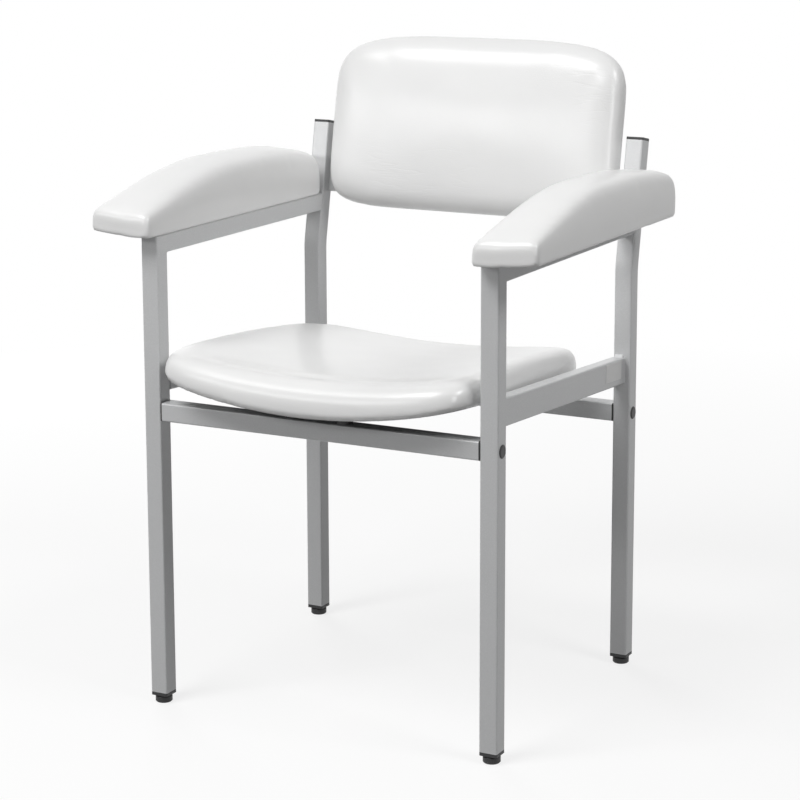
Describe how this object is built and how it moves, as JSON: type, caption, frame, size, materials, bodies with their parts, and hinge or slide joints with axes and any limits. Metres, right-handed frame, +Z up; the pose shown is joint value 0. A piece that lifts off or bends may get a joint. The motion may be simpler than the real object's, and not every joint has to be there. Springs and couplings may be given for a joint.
{
  "type": "phlebotomy chair",
  "caption": "Rigid blood draw armchair: painted square-tube frame, dished seat, leaning backrest and wedge-shaped padded arm rests, on screw-in levelling feet.",
  "frame": {"origin": "on the floor, below the middle of the chair's bounding box", "axes": "+Z up; +X to the sitter's left, across the chair; -Y the way the sitter faces; the levelling feet are fully screwed in and touch z = 0"},
  "size_m": [0.7, 0.605, 0.9486],
  "materials": {
    "frame_paint": "silver grey powder coat, semi-matt, fine metallic grain",
    "white_vinyl": "white upholstery vinyl, smooth, soft gloss",
    "black_plastic": "black moulded plastic, satin",
    "white_plastic": "white plastic panel, matt",
    "zinc_steel": "zinc-plated steel",
    "plywood": "bare moulded plywood",
    "foam": "cut polyurethane foam",
    "black_lining": "black non-woven lining",
    "label_film": "blank light grey film"
  },
  "bodies": {
    "chair": {"left_front_leg": "frame_paint", "right_front_leg": "frame_paint", "left_back_post": "frame_paint", "right_back_post": "frame_paint", "left_arm_rail": "frame_paint", "right_arm_rail": "frame_paint", "left_seat_rail": "frame_paint", "right_seat_rail": "frame_paint", "front_crossbar": "frame_paint", "rear_crossbar": "frame_paint", "seat_brackets": "frame_paint", "back_tabs": "frame_paint", "crossbar_end_plugs": "black_plastic", "bolt_hole_plugs": "black_plastic", "left_post_cap": "black_plastic", "right_post_cap": "black_plastic", "left_front_leg_plug": "black_plastic", "right_front_leg_plug": "black_plastic", "left_rear_leg_plug": "black_plastic", "right_rear_leg_plug": "black_plastic", "seat_spacers": "black_plastic", "crossbar_bolts": "zinc_steel", "seat_screws": "zinc_steel", "seat_inserts": "zinc_steel", "back_screws": "zinc_steel", "back_inserts": "zinc_steel", "arm_screws": "zinc_steel", "arm_inserts": "zinc_steel", "seat_cover": "white_vinyl", "back_cover": "white_vinyl", "left_arm_cover": "white_vinyl", "right_arm_cover": "white_vinyl", "seat_board": "plywood", "back_board": "plywood", "left_arm_board": "plywood", "right_arm_board": "plywood", "seat_foam": "foam", "back_foam": "foam", "left_arm_foam": "foam", "right_arm_foam": "foam", "seat_lining": "black_lining", "left_arm_lining": "black_lining", "right_arm_lining": "black_lining", "back_panel": "white_plastic", "side_label": "label_film"},
    "left_front_levelling_foot": {"left_front_foot": "black_plastic", "left_front_stud": "zinc_steel"},
    "right_front_levelling_foot": {"right_front_foot": "black_plastic", "right_front_stud": "zinc_steel"},
    "left_rear_levelling_foot": {"left_rear_foot": "black_plastic", "left_rear_stud": "zinc_steel"},
    "right_rear_levelling_foot": {"right_rear_foot": "black_plastic", "right_rear_stud": "zinc_steel"}
  },
  "joints": [
    {"name": "left_front_foot_screw", "type": "slide", "parent": "chair", "child": "left_front_levelling_foot", "axis": [0, 0, -1], "range_m": [0, 0.01]},
    {"name": "right_front_foot_screw", "type": "slide", "parent": "chair", "child": "right_front_levelling_foot", "axis": [0, 0, -1], "range_m": [0, 0.01]},
    {"name": "left_rear_foot_screw", "type": "slide", "parent": "chair", "child": "left_rear_levelling_foot", "axis": [0, 0, -1], "range_m": [0, 0.01]},
    {"name": "right_rear_foot_screw", "type": "slide", "parent": "chair", "child": "right_rear_levelling_foot", "axis": [0, 0, -1], "range_m": [0, 0.01]}
  ]
}
